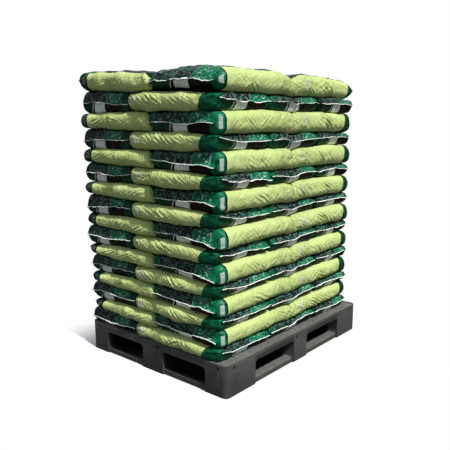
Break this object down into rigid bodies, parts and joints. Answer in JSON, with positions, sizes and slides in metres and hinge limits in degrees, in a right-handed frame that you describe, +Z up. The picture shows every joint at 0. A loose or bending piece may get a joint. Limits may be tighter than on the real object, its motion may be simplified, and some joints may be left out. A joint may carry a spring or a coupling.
{
  "type": "pallet of sacks",
  "caption": "Plastic pallet loaded with layers of filled film sacks, laid in a bonded pattern and turned layer by layer.",
  "frame": {"origin": "on the floor under the middle of the pallet", "axes": "+X along the pallet's 1200 mm side, +Y along its 1000 mm side, +Z up"},
  "size_m": [1.2, 1, 1.4808],
  "materials": {
    "pallet_plastic": "dark grey moulded plastic, matt with a faint sheen and scuffed edges",
    "sack_film": "printed film, semi-gloss: pale lime sides, dark green and black faces and ends, silver panels"
  },
  "bodies": {
    "root": {"pallet": "pallet_plastic", "sack_layer_01": "sack_film", "sack_layer_02": "sack_film", "sack_layer_03": "sack_film", "sack_layer_04": "sack_film", "sack_layer_05": "sack_film", "sack_layer_06": "sack_film", "sack_layer_07": "sack_film", "sack_layer_08": "sack_film", "sack_layer_09": "sack_film", "sack_layer_10": "sack_film", "sack_layer_11": "sack_film", "sack_layer_12": "sack_film", "sack_layer_13": "sack_film", "sack_layer_14": "sack_film", "sack_layer_15": "sack_film", "sack_layer_16": "sack_film"}
  },
  "joints": []
}
